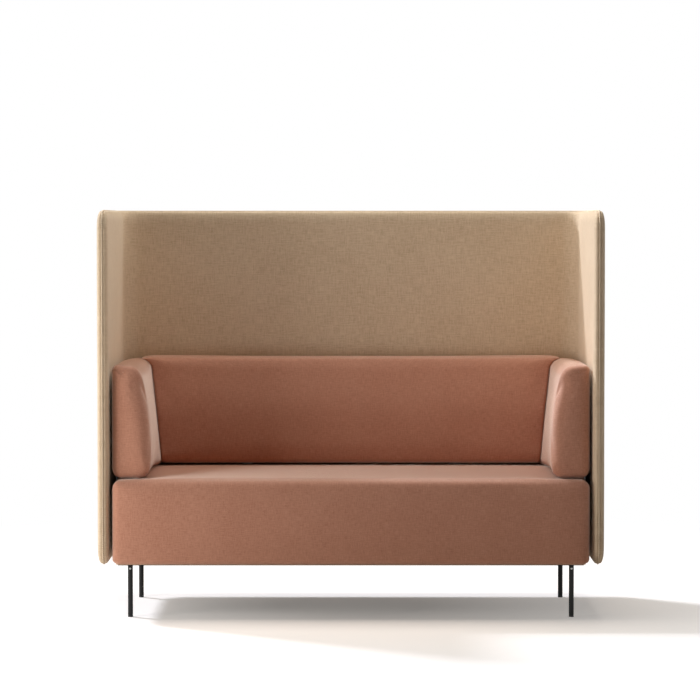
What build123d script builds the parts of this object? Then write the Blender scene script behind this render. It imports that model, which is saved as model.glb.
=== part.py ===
from build123d import *
import os
from math import cos, radians, sin, sqrt

# High-back two-seat sofa. Millimetres, floor at z = 0, front towards -Y, left is -X.

# Overall size
overall_width = 1600
overall_depth = 740
overall_height = 1295
ground_clearance = 172

# Upholstery: the covers carry fibre wadding that rounds and crowns the cut foam under them
wadding = 14
hem_thickness = 2
hem_width = 42
rest_clearance = 0.4

# Gap all round between the seat block and the screen, for straps and spacers
fixing_gap = 8
corner_cut_share = 0.65

# Screen: a padded plywood wall bent round the back and both sides
screen_thickness = 36
screen_corner_radius = 96
screen_front_radius = 55
rim_draw_in = 16
rim_steep_depth = 12
rim_ease_depth = 18
rim_ease_in = 6
screen_setback = 8
screen_wadding = 5
core_thickness = 12
core_margin = 8
piping_width = 5
piping_sunk = 2

# Seat block
seat_height = 452
seat_crown = 10
seat_edge_radius = 28
seat_side_radius = 24
dust_cover_thickness = 1.2
dust_cover_margin = 18
dust_cover_leg_gap = 1.6

# Seat frame
rail_thickness = 25
rail_height = 130
cross_rail_height = 62
cross_rail_spacing = 500
cross_rail_drop = 18
dowel_diameter = 10
dowel_length = 40
dowel_depth_in_rail = 10
dowel_spacing = 60
dowel_edge = 3
webbing_width = 50
webbing_thickness = 1.6
webbing_count = 11
webbing_margin = 42

# Arm and back cushions
cushion_top = 803
cushion_corner_radius = 32
cushion_edge_radius = 26
arm_base_width = 128
arm_top_width = 76
arm_setback = 40
arm_bulge = 7
arm_crown = 4
back_base_depth = 166
back_top_depth = 96
back_bulge = 10
back_crown = 5
back_end_gap = 3
board_thickness = 12
board_margin = 42

# Steel straps that tie the arm and back cushions to the seat frame
strap_width = 40
strap_thickness = 4
strap_end = 18
arm_strap_spacing = 170
back_strap_spacing = 700
strap_screw_rail_drop = 50
strap_screw_board_rise = 40
screw_diameter = 5
screw_head_diameter = 11
screw_head_height = 2.8
screw_board_depth = 10
screw_rail_depth = 20
screw_clearance = 0.3

# Bolts that hold the screen to the seat frame
bolt_diameter = 8
bolt_head_diameter = 14
bolt_head_height = 8
bolt_clearance = 0.3
bolt_rise = 45
bolt_block_gap = 30
rear_bolt_spacing = 900
spacer_size = 32
insert_diameter = 13

# Legs
leg_diameter = 16
leg_side_inset = 54
leg_front_inset = 80
leg_rear_inset = 111
plate_size = 64
plate_thickness = 4
plate_side_gap = 1
plate_recess = 5
plate_screw_inset = 10
plate_screw_head_height = 2.2
plate_screw_depth = 22
leg_block_width = 80
leg_block_height = 66
stud_diameter = 10
stud_length = 34
stud_clearance = 0.1
lock_screw_drop = 20
lock_screw_diameter = 4
lock_screw_head_diameter = 7
lock_screw_head_height = 2.2

# Levelling glides
glide_thickness = 5
glide_gap = 0.3
glide_stud_diameter = 8
glide_stud_length = 26
glide_stud_clearance = 0.15
glide_bore_spare = 6

# Places worked out from the sizes above
half_width = overall_width / 2
front_y = -overall_depth / 2
back_y = overall_depth / 2
screen_front = front_y + screen_setback
screen_bottom = ground_clearance
screen_top = overall_height - piping_width + piping_sunk
seat_half = half_width - screen_thickness - fixing_gap
seat_rear = back_y - screen_thickness - fixing_gap
seat_mid_y = (front_y + seat_rear) / 2
seat_edge_height = seat_height - seat_crown
corner_cut = (screen_corner_radius - screen_thickness - fixing_gap) * corner_cut_share
rail_x = seat_half - wadding
rail_front = front_y + wadding
rail_rear = seat_rear - wadding
rail_bottom = ground_clearance + hem_thickness
rail_top = rail_bottom + rail_height
rail_inner_x = rail_x - rail_thickness
rail_inner_front = rail_front + rail_thickness
rail_inner_rear = rail_rear - rail_thickness
frame_top = rail_top + webbing_thickness
bolt_z = rail_bottom + bolt_rise
leg_front_y = front_y + leg_front_inset
leg_rear_y = seat_rear - leg_rear_inset
leg_block_length = 2 * (leg_front_inset - wadding - rail_thickness)
side_bolt_ends = leg_block_length / 2 + bolt_block_gap


def box_between(low, high):
    """Box from its lowest to its highest corner."""
    size = [b - a for a, b in zip(low, high)]
    middle = [(a + b) / 2 for a, b in zip(low, high)]
    return Pos(*middle) * Box(*size)


def along(point, direction, distance):
    """Point moved along a direction."""
    return tuple(a + b * distance for a, b in zip(point, direction))


def rod(start, direction, diameter, length):
    """Round bar that runs from a point along a direction."""
    plane = Plane(origin=start, z_dir=direction)
    return plane * Cylinder(diameter / 2, length, align=(Align.CENTER, Align.CENTER, Align.MIN))


def hexagon_rod(start, direction, diameter, length):
    """Six-sided bar, for screws and their holes, that runs from a point along a direction."""
    plane = Plane(origin=start, z_dir=direction)
    return extrude(plane * RegularPolygon(diameter / 2, 6), length)


def bulged_outline(corners, bulges, radii):
    """Face whose sides stand out from straight lines by the bulges and whose corners are rounded."""
    sides = []
    for index, bulge in enumerate(bulges):
        start = corners[index]
        end = corners[(index + 1) % len(corners)]
        sides.append(SagittaArc(start, end, -bulge) if bulge else Line(start, end))
    outline = make_face(sides)
    for corner, radius in zip(corners, radii):
        if radius:
            nearest = min(outline.vertices(), key=lambda v: (v.X - corner[0]) ** 2 + (v.Y - corner[1]) ** 2)
            outline = fillet(nearest, radius)
    return outline


def across(x):
    """Plane square to X, with Y and Z as its own two axes."""
    return Plane(origin=(x, 0, 0), x_dir=(0, 1, 0), z_dir=(1, 0, 0))


def lengthwise(y):
    """Plane square to Y that faces the front, with X and Z as its own two axes."""
    return Plane(origin=(0, y, 0), x_dir=(1, 0, 0), z_dir=(0, -1, 0))


def soft_levels(radius):
    """Depth and inset of the sections that round an end off in three steps."""
    levels = []
    for angle in (0, 30, 60, 90):
        levels.append((radius * (1 - cos(radians(angle))), radius * (1 - sin(radians(angle)))))
    return levels


def group(solids):
    """Like pieces kept as separate solids in one node."""
    return Compound([piece.solid() for piece in solids])


# Screen


def screen_plan(inset, front):
    """Area inside the screen's outer face moved in by an inset, open to the front."""
    rear = back_y - inset
    outline = Pos(0, (front + rear) / 2) * Rectangle(overall_width - 2 * inset, rear - front)
    return fillet(outline.vertices().group_by(Axis.Y)[-1], screen_corner_radius - inset)


def screen_wall(outer_inset, inner_inset, rim_inset):
    """Square-edged wall between two insets of the plan, cut back all round at its rim."""
    low = screen_bottom + rim_inset
    high = screen_top - rim_inset
    front = screen_front + rim_inset
    past_front = screen_front - screen_front_radius
    outer = extrude(Pos(0, 0, low) * screen_plan(outer_inset, past_front), high - low)
    inner = extrude(Pos(0, 0, low) * screen_plan(inner_inset, past_front - 1), high - low)
    side = Pos((front + overall_depth) / 2, (low + high) / 2) * Rectangle(overall_depth - front, high - low)
    side = fillet(side.vertices().group_by(Axis.X)[0], screen_front_radius - rim_inset)
    return (outer - inner) & extrude(across(0) * side, half_width, both=True)


def rim_edges(wall, depth):
    """Edges round the rim of a wall's inner and outer face, where both faces end at a depth."""
    found = []
    for edge in wall.edges():
        middle = edge @ 0.5
        x = abs(middle.X)
        at_side = min(abs(x - half_width), abs(x - half_width + screen_thickness)) < 0.01
        at_rear = min(abs(middle.Y - back_y), abs(middle.Y - back_y + screen_thickness)) < 0.01
        in_bend = middle.Y > back_y - screen_corner_radius and x > half_width - screen_corner_radius
        from_end = min(screen_top - middle.Z, middle.Z - screen_bottom)
        at_end = abs(from_end - depth) < 0.01
        at_front = middle.Y < screen_front + screen_front_radius
        if (at_side and (at_front or at_end)) or ((at_rear or in_bend) and at_end):
            found.append(edge)
    return found


def pillow_edged(wall):
    """Wall with the whole rim of its inner and outer face drawn in by two slopes."""
    wall = chamfer(rim_edges(wall, 0), rim_draw_in, rim_steep_depth)
    return chamfer(rim_edges(wall, rim_steep_depth), rim_ease_depth, rim_ease_in)


def piping_loop():
    """Welt that follows the seam in the middle of the screen's rim all the way round."""
    inset = screen_thickness / 2
    lift = piping_width / 2 - piping_sunk
    x = half_width - inset
    rear = back_y - inset
    front = screen_front - lift
    nose = screen_front_radius + lift
    bend = screen_corner_radius - inset
    corners = []
    for side, z in ((-1, screen_top + lift), (1, screen_bottom - lift)):
        corners += [(side * x, front, z), (side * x, rear, z), (-side * x, rear, z), (-side * x, front, z)]
    path = FilletPolyline(*corners, radius=[nose, bend, bend, nose] * 2, close=True)
    section = Plane(origin=path @ 0, x_dir=(0, 0, 1), z_dir=path % 0) * Rectangle(piping_width, piping_width)
    return sweep(section, path=path)


def bolt_places():
    """Point on the seat block's side or rear face and the outward direction of each screen bolt."""
    places = []
    for side in (-1, 1):
        for y in (leg_front_y + side_bolt_ends, leg_rear_y - side_bolt_ends):
            places.append(((side * seat_half, y, bolt_z), (side, 0, 0)))
    for step in (-0.5, 0.5):
        places.append(((step * rear_bolt_spacing, seat_rear, bolt_z), (0, 1, 0)))
    return places


core_inset = (screen_thickness - core_thickness) / 2
core_start = fixing_gap + core_inset
bolt_hole = bolt_diameter + 2 * bolt_clearance
bolt_bores = []
insert_bores = []
screen_bolts = []
screen_spacers = []
screen_inserts = []
for face_point, outward in bolt_places():
    head_seat = along(face_point, outward, -wadding - rail_thickness)
    head_start = along(head_seat, outward, -bolt_head_height)
    core_face = along(face_point, outward, core_start)
    clear_length = wadding + rail_thickness + core_start
    shank = hexagon_rod(head_seat, outward, bolt_diameter, clear_length + core_thickness)
    bore = hexagon_rod(head_seat, outward, bolt_hole, clear_length)
    insert = hexagon_rod(core_face, outward, insert_diameter, core_thickness)
    spacer = extrude(Plane(origin=face_point, z_dir=outward) * Rectangle(spacer_size, spacer_size), fixing_gap)
    screen_bolts.append(shank + hexagon_rod(head_start, outward, bolt_head_diameter, bolt_head_height))
    screen_spacers.append(spacer - bore)
    screen_inserts.append(insert - shank)
    bolt_bores.append(bore)
    insert_bores.append(insert)

screen_form = pillow_edged(screen_wall(0, screen_thickness, 0))
padding_wall = screen_wall(screen_wadding, screen_thickness - screen_wadding, wadding)
core_wall = screen_wall(core_inset, core_inset + core_thickness, wadding + core_margin)
inner_half = extrude(
    Pos(0, 0, screen_bottom - 1) * screen_plan(screen_thickness / 2, screen_front - screen_front_radius),
    screen_top - screen_bottom + 2,
)
screen_piping = piping_loop()
screen_skin = screen_form - padding_wall - screen_piping
screen_foam = padding_wall - core_wall
screen_core = core_wall - insert_bores
screen_inner_cover = (screen_skin & inner_half) - bolt_bores
screen_outer_cover = screen_skin - inner_half
screen_inner_foam = (screen_foam & inner_half) - bolt_bores
screen_outer_foam = screen_foam - inner_half

# Straps and their screws


def strap_places():
    """Plan point and outward direction of each strap: left arm, right arm, then back."""
    places = []
    for side in (-1, 1):
        for step in (-0.5, 0.5):
            places.append(((side * seat_half, arm_mid_y + step * arm_strap_spacing), (side, 0, 0)))
    for step in (-0.5, 0.5):
        places.append(((step * back_strap_spacing, seat_rear), (0, 1, 0)))
    return places


def seat_crown_at(y):
    """Height of the seat's crown above its edge at a place along its depth."""
    return seat_crown * (1 - ((y - seat_mid_y) / (seat_rear - seat_mid_y)) ** 2)


arm_front = front_y + arm_setback
arm_mid_y = (arm_front + seat_rear) / 2
arm_inner_base = seat_half - arm_base_width
arm_inner_top = seat_half - arm_top_width
arm_base = seat_height + rest_clearance
back_base = seat_edge_height + seat_crown_at(seat_rear - back_base_depth) + rest_clearance
board_low = arm_base + board_margin
board_high = cushion_top - board_margin
rail_screw_z = rail_top - strap_screw_rail_drop
board_screw_z = board_low + strap_screw_board_rise
strap_low = rail_screw_z - strap_end
strap_high = board_screw_z + strap_end

strap_screws = []
screw_bores = []
strap_bars = []
for (x, y), outward in strap_places():
    middle = (x, y, (strap_low + strap_high) / 2)
    plane = Plane(origin=middle, x_dir=(0, 0, 1), z_dir=outward)
    bar = extrude(plane * Rectangle(strap_high - strap_low, strap_width), strap_thickness)
    inward = tuple(-value for value in outward)
    for z, depth in ((rail_screw_z, wadding + screw_rail_depth), (board_screw_z, screw_board_depth)):
        head_seat = along((x, y, z), outward, strap_thickness)
        shank = hexagon_rod(head_seat, inward, screw_diameter, strap_thickness + depth)
        head = hexagon_rod(head_seat, outward, screw_head_diameter, screw_head_height)
        hole = hexagon_rod(head_seat, inward, screw_diameter + 2 * screw_clearance, strap_thickness)
        strap_screws.append(shank + head)
        screw_bores.append(shank)
        bar -= hole
    strap_bars.append(bar)

# Seat block


def rear_corners(inset, low, high):
    """Wedges to cut from the two rear corners of a block so that it clears the bends of the screen."""
    reach = corner_cut + inset * sqrt(2)
    wedges = []
    for side in (-1, 1):
        x = side * seat_half
        points = [(x, seat_rear), (x - side * reach, seat_rear), (x, seat_rear - reach)]
        wedges.append(extrude(Pos(0, 0, low) * make_face(Polyline(*points, close=True)), high - low))
    return wedges


def seat_profile(inset):
    """Side view of the seat block with a crowned top, moved in all round but at its rear."""
    low = ground_clearance + inset
    high = seat_edge_height - inset
    front = front_y + inset
    corners = [(front, low), (seat_rear, low), (seat_rear, high), (front, high)]
    radius = seat_edge_radius - inset
    return bulged_outline(corners, (0, 0, seat_crown, 0), (radius, 0, 0, radius))


def seat_outside():
    """Seat block rounded along the front and down both ends."""
    levels = soft_levels(seat_side_radius)
    sections = [across(-seat_half + depth) * seat_profile(inset) for depth, inset in levels]
    sections += [across(seat_half - depth) * seat_profile(inset) for depth, inset in reversed(levels)]
    return loft(sections, ruled=True) - rear_corners(0, ground_clearance, seat_height)


def frame_block(low, high):
    """Space inside the seat's wadding between two heights."""
    block = box_between((-rail_x, rail_front, low), (rail_x, rail_rear, high))
    return block - rear_corners(wadding, low, high)


foam_top = seat_edge_height - wadding
hem_opening = box_between(
    (-seat_half + hem_width, front_y + hem_width, ground_clearance - 1),
    (seat_half - hem_width, seat_rear - hem_width, rail_bottom + 1),
)
seat_foam = frame_block(frame_top, foam_top)
seat_cover = seat_outside() - frame_block(rail_bottom, foam_top) - hem_opening - bolt_bores - screw_bores


def dowel_places():
    """Plan point on a rail's inner face, the way the butting rail runs, and the height of each dowel."""
    places = []
    side_x = rail_inner_x + dowel_edge + dowel_diameter / 2
    rail_middle = (rail_bottom + rail_top) / 2
    cross_middle = rail_top - cross_rail_drop - cross_rail_height / 2
    for sign in (-1, 1):
        for y, facing in ((rail_inner_front, 1), (rail_inner_rear, -1)):
            for step in (-0.5, 0.5):
                places.append((sign * side_x, y, facing, rail_middle + step * dowel_spacing))
            places.append((sign * cross_rail_spacing / 2, y, facing, cross_middle))
    return places


dowels = []
for x, y, facing, z in dowel_places():
    start = (x, y - facing * dowel_depth_in_rail, z)
    dowels.append(hexagon_rod(start, (0, facing, 0), dowel_diameter, dowel_length))


def rail_between(low_x, high_x, low_y, high_y):
    """Frame rail of full height with its screw, bolt and dowel holes."""
    rail = box_between((low_x, low_y, rail_bottom), (high_x, high_y, rail_top))
    return rail - rear_corners(wadding, rail_bottom, rail_top) - bolt_bores - screw_bores - dowels


seat_front_rail = rail_between(-rail_x, rail_x, rail_front, rail_inner_front)
seat_rear_rail = rail_between(-rail_x, rail_x, rail_inner_rear, rail_rear)
seat_left_rail = rail_between(-rail_x, -rail_inner_x, rail_inner_front, rail_inner_rear)
seat_right_rail = rail_between(rail_inner_x, rail_x, rail_inner_front, rail_inner_rear)

cross_top = rail_top - cross_rail_drop
seat_cross_rails = []
for sign in (-1, 1):
    x = sign * cross_rail_spacing / 2
    low = (x - rail_thickness / 2, rail_inner_front, cross_top - cross_rail_height)
    high = (x + rail_thickness / 2, rail_inner_rear, cross_top)
    seat_cross_rails.append(box_between(low, high) - dowels)

seat_webbing = []
webbing_reach = rail_inner_x - webbing_margin - webbing_width / 2
for index in range(webbing_count):
    x = webbing_reach * (2 * index / (webbing_count - 1) - 1)
    low = (x - webbing_width / 2, rail_front, rail_top)
    high = (x + webbing_width / 2, rail_rear, frame_top)
    seat_webbing.append(box_between(low, high))

# Arm cushions


def arm_profile(inset):
    """Front view of the right arm: upright outer side, sloped inner side, both it and the top crowned."""
    corners = [
        (arm_inner_base + inset, arm_base + inset),
        (seat_half - inset, arm_base + inset),
        (seat_half - inset, cushion_top - inset),
        (arm_inner_top + inset, cushion_top - inset),
    ]
    return bulged_outline(corners, (0, 0, arm_crown, arm_bulge), [cushion_corner_radius - inset] * 4)


def arm_outside(side):
    """Wedge arm cushion, wide at its base, rounded at its front end."""
    levels = soft_levels(cushion_edge_radius)
    sections = [lengthwise(arm_front + depth) * arm_profile(inset) for depth, inset in levels]
    sections.append(lengthwise(seat_rear) * arm_profile(0))
    cushion = loft(sections, ruled=True) - rear_corners(0, arm_base, cushion_top + arm_crown)
    return cushion if side > 0 else mirror(cushion, about=Plane.YZ)


def arm_padding(side):
    """Cut foam wedge inside the arm's wadding."""
    corners = [
        (arm_inner_base + wadding, arm_base + wadding),
        (seat_half - board_thickness, arm_base + wadding),
        (seat_half - board_thickness, cushion_top - wadding),
        (arm_inner_top + wadding, cushion_top - wadding),
    ]
    profile = make_face(Polyline(*corners, close=True))
    foam = extrude(lengthwise(rail_rear) * profile, rail_rear - arm_front - wadding)
    foam -= rear_corners(wadding, arm_base, cushion_top)
    return foam if side > 0 else mirror(foam, about=Plane.YZ)


def arm_panel(side):
    """Plywood panel let into the arm's outer face."""
    near = side * (seat_half - board_thickness)
    far = side * seat_half
    low = (min(near, far), arm_front + board_margin, board_low)
    high = (max(near, far), seat_rear - max(board_margin, corner_cut + wadding), board_high)
    return box_between(low, high)


left_arm_board = arm_panel(-1)
right_arm_board = arm_panel(1)
left_arm_foam = arm_padding(-1)
right_arm_foam = arm_padding(1)
left_arm_cover = arm_outside(-1) - left_arm_foam - left_arm_board
right_arm_cover = arm_outside(1) - right_arm_foam - right_arm_board
left_arm_board -= screw_bores
right_arm_board -= screw_bores

# Back cushion


end_slope = (arm_inner_top - arm_inner_base) / (cushion_top - arm_base)
end_rake = sqrt(1 + end_slope**2)
end_foot = arm_inner_base - arm_bulge - back_end_gap


def back_end_plane(side, depth):
    """Plane of a slanted end beside an arm's inner face, moved towards the middle by a depth."""
    origin = (side * (end_foot - depth * end_rake), 0, back_base)
    return Plane(origin=origin, x_dir=(0, 1, 0), z_dir=(1, 0, -side * end_slope))


def back_profile(inset):
    """Side view of the back on the slant of its ends, crowned in front and on top."""
    low = inset
    high = (cushion_top - back_base) * end_rake - inset
    corners = [
        (seat_rear - back_base_depth + inset, low),
        (seat_rear, low),
        (seat_rear, high),
        (seat_rear - back_top_depth + inset, high),
    ]
    radius = cushion_corner_radius - inset
    return bulged_outline(corners, (0, 0, back_crown, back_bulge), (radius, 0, radius, radius))


def back_outside():
    """Wedge back cushion that leans back, rounded at both slanted ends."""
    levels = soft_levels(cushion_edge_radius)
    sections = [back_end_plane(-1, depth) * back_profile(inset) for depth, inset in levels]
    sections += [back_end_plane(1, depth) * back_profile(inset) for depth, inset in reversed(levels)]
    return loft(sections, ruled=True)


def back_padding():
    """Cut foam wedge inside the back's wadding, in front of its panel."""
    low = wadding
    high = (cushion_top - back_base) * end_rake - wadding
    corners = [
        (seat_rear - back_base_depth + wadding, low),
        (seat_rear - board_thickness, low),
        (seat_rear - board_thickness, high),
        (seat_rear - back_top_depth + wadding, high),
    ]
    profile = make_face(Polyline(*corners, close=True))
    return loft([back_end_plane(side, wadding) * profile for side in (-1, 1)], ruled=True)


board_half = end_foot - board_margin
back_panel = box_between(
    (-board_half, seat_rear - board_thickness, board_low),
    (board_half, seat_rear, board_high),
)
back_foam = back_padding()
back_cover = back_outside() - back_foam - back_panel
back_board = back_panel - screw_bores

# Legs


def leg_places():
    """Name, plan point, outward side and the way the lock screw faces for each leg."""
    x = seat_half - leg_side_inset
    rows = (("front", leg_front_y, -1), ("rear", leg_rear_y, 1))
    places = []
    for row, y, facing in rows:
        for name, side in (("left", -1), ("right", 1)):
            places.append((row + "_" + name, side * x, y, side, facing))
    return places


plate_top = rail_bottom + plate_recess
plate_bottom = plate_top - plate_thickness
lock_screw_z = plate_bottom - lock_screw_drop
bar_bottom = glide_thickness + glide_gap
stud_bore = stud_diameter + 2 * stud_clearance
glide_bore = glide_stud_diameter + 2 * glide_stud_clearance
up = (0, 0, 1)
down = (0, 0, -1)

leg_parts = {}
leg_blocks = []
plate_screws = []
lock_screws = []
leg_clearances = []
for name, x, y, side, facing in leg_places():
    plate_x = side * (rail_inner_x - plate_side_gap - plate_size / 2)
    block_x = side * (rail_inner_x - leg_block_width / 2)
    block = Pos(block_x, y, plate_top + leg_block_height / 2)
    block = block * Box(leg_block_width, leg_block_length, leg_block_height)
    plate = Pos(plate_x, y, (plate_bottom + plate_top) / 2) * Box(plate_size, plate_size, plate_thickness)
    plate += hexagon_rod((x, y, plate_bottom), down, stud_diameter, stud_length)
    reach = plate_size / 2 - plate_screw_inset
    for step_x in (-1, 1):
        for step_y in (-1, 1):
            spot = (plate_x + step_x * reach, y + step_y * reach, plate_bottom)
            shank = hexagon_rod(spot, up, screw_diameter, plate_thickness + plate_screw_depth)
            plate_screws.append(shank + hexagon_rod(spot, down, screw_head_diameter, plate_screw_head_height))
            plate -= shank
            block -= shank
    screw_seat = (x, y + facing * leg_diameter / 2, lock_screw_z)
    wall = (leg_diameter - stud_bore) / 2
    lock_shank = hexagon_rod(screw_seat, (0, -facing, 0), lock_screw_diameter, wall)
    lock_head = hexagon_rod(screw_seat, (0, facing, 0), lock_screw_head_diameter, lock_screw_head_height)
    lock_screws.append(lock_shank + lock_head)
    bar = rod((x, y, bar_bottom), up, leg_diameter, plate_bottom - bar_bottom)
    bar -= hexagon_rod((x, y, plate_bottom), down, stud_bore, stud_length)
    bar -= rod((x, y, bar_bottom), up, glide_bore, glide_stud_length + glide_bore_spare)
    bar -= lock_shank
    glide = rod((x, y, 0), up, leg_diameter, glide_thickness)
    glide += hexagon_rod((x, y, glide_thickness), up, glide_stud_diameter, glide_stud_length)
    leg_blocks.append(block)
    leg_clearances.append(hexagon_rod((x, y, 0), up, leg_diameter + 2 * dust_cover_leg_gap, plate_bottom))
    leg_parts["leg_plate_" + name] = plate
    leg_parts["leg_" + name] = bar
    leg_parts["glide_" + name] = glide

dust_cover_sheet = box_between(
    (-seat_half + dust_cover_margin, front_y + dust_cover_margin, ground_clearance - dust_cover_thickness),
    (seat_half - dust_cover_margin, seat_rear - dust_cover_margin, ground_clearance),
)
dust_cover_corners = rear_corners(dust_cover_margin, ground_clearance - dust_cover_thickness, ground_clearance)
seat_dust_cover = dust_cover_sheet - dust_cover_corners - leg_clearances

# One file for each node

nodes = {
    "screen_core": screen_core,
    "screen_inner_foam": screen_inner_foam,
    "screen_outer_foam": screen_outer_foam,
    "screen_inner_cover": screen_inner_cover,
    "screen_outer_cover": screen_outer_cover,
    "screen_piping": screen_piping,
    "screen_bolts": group(screen_bolts),
    "screen_spacers": group(screen_spacers),
    "screen_inserts": group(screen_inserts),
    "seat_front_rail": seat_front_rail,
    "seat_rear_rail": seat_rear_rail,
    "seat_left_rail": seat_left_rail,
    "seat_right_rail": seat_right_rail,
    "seat_cross_rails": group(seat_cross_rails),
    "seat_leg_blocks": group(leg_blocks),
    "seat_dowels": group(dowels),
    "seat_webbing": group(seat_webbing),
    "seat_foam": seat_foam,
    "seat_cover": seat_cover,
    "seat_dust_cover": seat_dust_cover,
    "back_board": back_board,
    "back_foam": back_foam,
    "back_cover": back_cover,
    "back_straps": group(strap_bars[4:6]),
    "left_arm_board": left_arm_board,
    "left_arm_foam": left_arm_foam,
    "left_arm_cover": left_arm_cover,
    "left_arm_straps": group(strap_bars[0:2]),
    "right_arm_board": right_arm_board,
    "right_arm_foam": right_arm_foam,
    "right_arm_cover": right_arm_cover,
    "right_arm_straps": group(strap_bars[2:4]),
    "strap_screws": group(strap_screws),
    "leg_plate_screws": group(plate_screws),
    "leg_lock_screws": group(lock_screws),
}
nodes.update(leg_parts)

os.makedirs("parts", exist_ok=True)
for name, shape in nodes.items():
    export_step(shape, "parts/" + name + ".step")
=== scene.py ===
import math

import bmesh
import bpy
import numpy as np
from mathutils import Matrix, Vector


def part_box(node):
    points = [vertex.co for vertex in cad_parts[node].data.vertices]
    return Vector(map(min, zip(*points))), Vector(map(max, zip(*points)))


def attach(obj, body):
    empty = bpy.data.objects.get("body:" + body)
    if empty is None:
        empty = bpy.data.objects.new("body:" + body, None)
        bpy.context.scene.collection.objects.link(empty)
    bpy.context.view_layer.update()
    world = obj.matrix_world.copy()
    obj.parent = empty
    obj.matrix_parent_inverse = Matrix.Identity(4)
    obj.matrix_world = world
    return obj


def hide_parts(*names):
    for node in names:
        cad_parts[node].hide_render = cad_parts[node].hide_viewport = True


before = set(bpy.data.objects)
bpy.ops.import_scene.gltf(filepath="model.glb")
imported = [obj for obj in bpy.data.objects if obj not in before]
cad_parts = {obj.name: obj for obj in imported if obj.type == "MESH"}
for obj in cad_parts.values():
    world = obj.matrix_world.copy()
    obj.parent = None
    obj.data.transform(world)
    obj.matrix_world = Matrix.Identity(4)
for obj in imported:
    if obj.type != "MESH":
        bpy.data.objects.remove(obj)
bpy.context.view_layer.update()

scene = bpy.context.scene


# Seat frame: beech rails doweled at the corners, two cross rails and four leg blocks glued inside.
# It is planed and left unfinished, because the cover hides it.

def tone(red, green, blue):
    """A colour as it is read off a screen, made linear."""
    levels = [value / 255 for value in (red, green, blue)]
    return tuple(v / 12.92 if v <= 0.04045 else ((v + 0.055) / 1.055) ** 2.4 for v in levels) + (1.0,)


def new_finish(name, roughness, metal=0.0):
    """A finish with its shader, ready for the nodes that give it grain."""
    finish = bpy.data.materials.new(name)
    finish.use_nodes = True
    shader = finish.node_tree.nodes["Principled BSDF"]
    shader.inputs["Roughness"].default_value = roughness
    shader.inputs["Metallic"].default_value = metal
    return finish, finish.node_tree, shader


def node(tree, kind, inputs=(), **settings):
    """A new node, with its settings and the values of its inputs."""
    made = tree.nodes.new(kind)
    for name, value in settings.items():
        setattr(made, name, value)
    for name, value in dict(inputs).items():
        made.inputs[name].default_value = value
    return made


def laid_out(tree, source, scale=(1, 1, 1)):
    """The piece's own coordinates, stretched for a pattern."""
    coordinates = node(tree, "ShaderNodeTexCoord")
    mapping = node(tree, "ShaderNodeMapping", {"Scale": scale})
    tree.links.new(coordinates.outputs[source], mapping.inputs["Vector"])
    return mapping.outputs["Vector"]


def mottle(tree, place, size, detail=3.0, roughness=0.55):
    """Cloudy marks of about the given size."""
    marks = node(tree, "ShaderNodeTexNoise", {"Scale": 1 / size, "Detail": detail, "Roughness": roughness})
    tree.links.new(place, marks.inputs["Vector"])
    return marks.outputs["Fac"]


def shades(tree, amount, stops, target, entry="Base Color"):
    """Gives a shader colours from dark to light, by amount."""
    ramp = node(tree, "ShaderNodeValToRGB")
    while len(ramp.color_ramp.elements) < len(stops):
        ramp.color_ramp.elements.new(0.5)
    for element, (position, colour) in zip(ramp.color_ramp.elements, stops):
        element.position = position
        element.color = colour
    tree.links.new(amount, ramp.inputs["Fac"])
    tree.links.new(ramp.outputs["Color"], target.inputs[entry])


def sums(tree, work, first, second):
    """One step of arithmetic between two amounts, or an amount and a number."""
    step = node(tree, "ShaderNodeMath", operation=work)
    for socket, value in zip(step.inputs, (first, second)):
        if isinstance(value, (int, float)):
            socket.default_value = value
        else:
            tree.links.new(value, socket)
    return step.outputs["Value"]


def mixed(tree, *parts):
    """A sum of amounts, each with its own share."""
    total = None
    for amount, share in parts:
        part = sums(tree, "MULTIPLY", amount, share)
        total = part if total is None else sums(tree, "ADD", total, part)
    return total


def spread(tree, amount, low, high):
    """An amount from 0 to 1, brought between low and high."""
    span = node(tree, "ShaderNodeMapRange", {"To Min": low, "To Max": high})
    tree.links.new(amount, span.inputs["Value"])
    return span.outputs["Result"]


def raise_grain(tree, shader, height, depth, strength=1.0):
    """Gives the surface the small relief of height."""
    bump = node(tree, "ShaderNodeBump", {"Distance": depth, "Strength": strength})
    tree.links.new(height, bump.inputs["Height"])
    tree.links.new(bump.outputs["Normal"], shader.inputs["Normal"])


def dress(finish, *names):
    """Puts a finish on CAD pieces that keep their own shape."""
    for name in names:
        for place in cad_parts[name].material_slots:
            place.material = finish


def planed_wood(name, stretch, pale, brown):
    """Straight grained wood, with the grain along the axis that has the small stretch."""
    finish, tree, shader = new_finish(name, 0.6)
    grain = mottle(tree, laid_out(tree, "Object", stretch), 0.02, 5.0, 0.65)
    pores = mottle(tree, laid_out(tree, "Object", tuple(6 * value for value in stretch)), 0.012, 2.0)
    both = mixed(tree, (grain, 0.75), (pores, 0.25))
    shades(tree, both, [(0.3, brown), (0.7, pale)], shader)
    tree.links.new(spread(tree, pores, 0.5, 0.72), shader.inputs["Roughness"])
    raise_grain(tree, shader, both, 0.0004)
    return finish


beech_pale = tone(214, 180, 140)
beech_brown = tone(176, 134, 95)
beech_across = planed_wood("beech_rails_across", (0.12, 1.0, 1.0), beech_pale, beech_brown)
beech_deep = planed_wood("beech_rails_deep", (1.0, 0.12, 1.0), beech_pale, beech_brown)
dress(beech_across, "seat_front_rail", "seat_rear_rail")
dress(beech_deep, "seat_left_rail", "seat_right_rail", "seat_cross_rails", "seat_leg_blocks", "seat_dowels")


# Seat webbing: elastic straps from the front rail to the rear rail, stapled down to carry the foam.
# They are woven of dark rubber and polyester yarn, ribbed across their length.

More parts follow.
